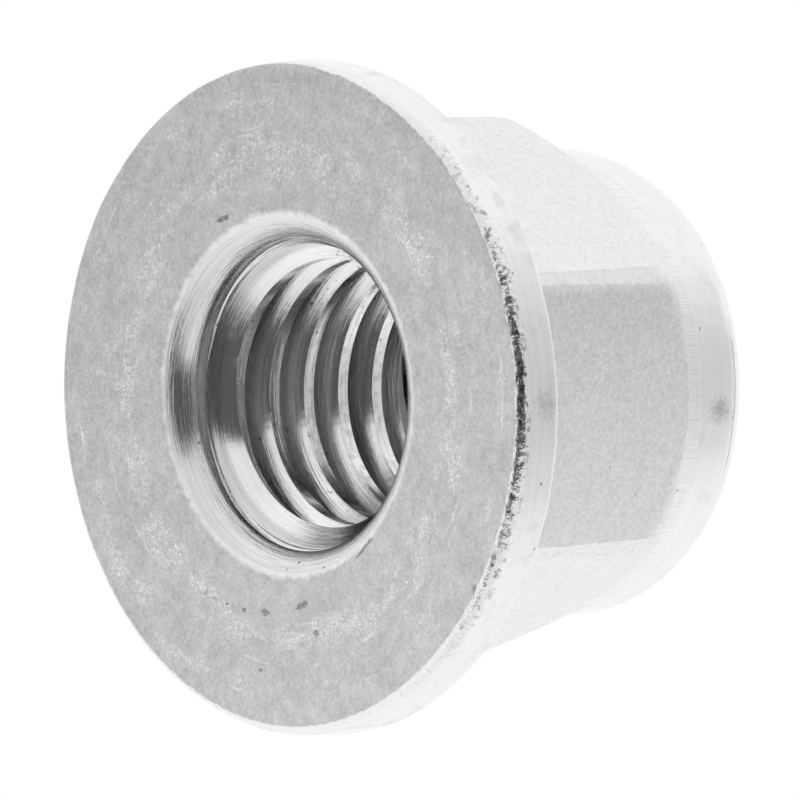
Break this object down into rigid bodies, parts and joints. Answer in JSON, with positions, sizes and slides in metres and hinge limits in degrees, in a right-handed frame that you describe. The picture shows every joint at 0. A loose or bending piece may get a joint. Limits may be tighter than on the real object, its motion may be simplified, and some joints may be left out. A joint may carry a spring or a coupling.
{
  "type": "flanged nylon insert lock nut",
  "caption": "Hexagon lock nut with a round flange below, a rolled collar above and a nylon ring in the collar that grips the bolt's thread so that it doesn't work loose.",
  "frame": {"origin": "centre of the flange's bearing face, on the thread's axis", "axes": "+Z along the thread's axis from the bearing face to the collar; a pair of flats faces along Y, and a pair of corners along X"},
  "size_m": [0.021, 0.021, 0.0133],
  "materials": {
    "zinc_plated_steel": "bright zinc plating, satin, with tooling marks and small nicks",
    "natural_nylon": "moulded, slightly translucent"
  },
  "bodies": {
    "root": {"nut_body": "zinc_plated_steel", "nylon_insert": "natural_nylon"}
  },
  "joints": []
}
